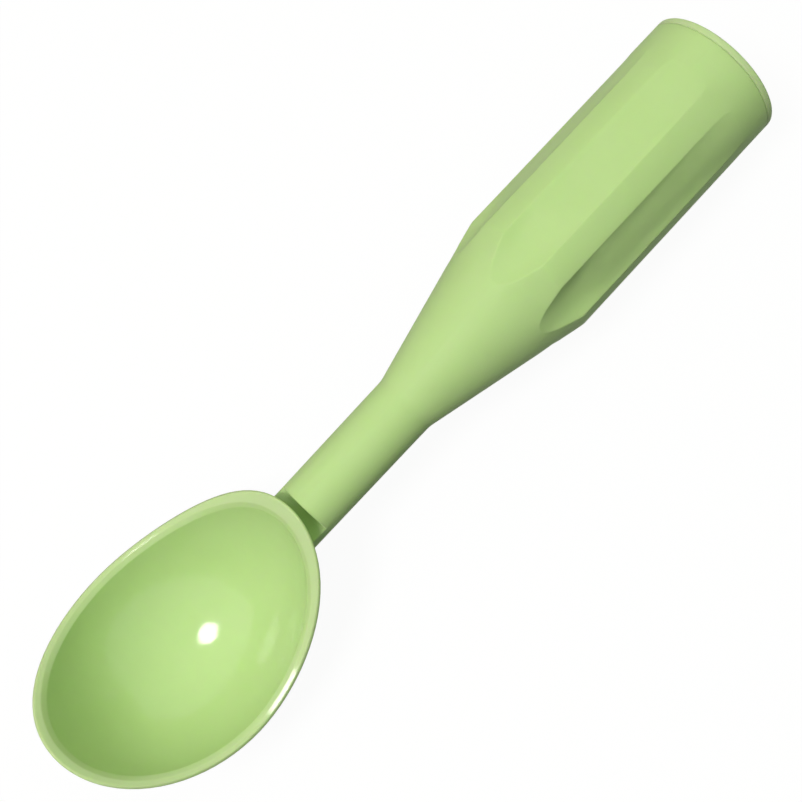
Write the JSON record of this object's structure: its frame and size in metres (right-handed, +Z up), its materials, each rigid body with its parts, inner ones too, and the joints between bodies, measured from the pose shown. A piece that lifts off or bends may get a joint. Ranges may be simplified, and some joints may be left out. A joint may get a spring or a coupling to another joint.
{
  "type": "ice cream scoop",
  "caption": "One-piece moulded ice cream scoop with an egg-shaped bowl, a round stem and a thick fluted grip closed by a plain end cap.",
  "frame": {"origin": "middle of the footprint, on the surface that the scoop lies on", "axes": "+X from the bowl's tip to the grip's end, +Y across the scoop, +Z up out of the open bowl"},
  "size_m": [0.2106, 0.0526, 0.0377],
  "materials": {
    "body_plastic": "light green, glossy in the bowl and satin on the handle",
    "cap_plastic": "light green, satin"
  },
  "bodies": {
    "root": {"scoop_body": "body_plastic", "end_cap": "cap_plastic"}
  },
  "joints": []
}
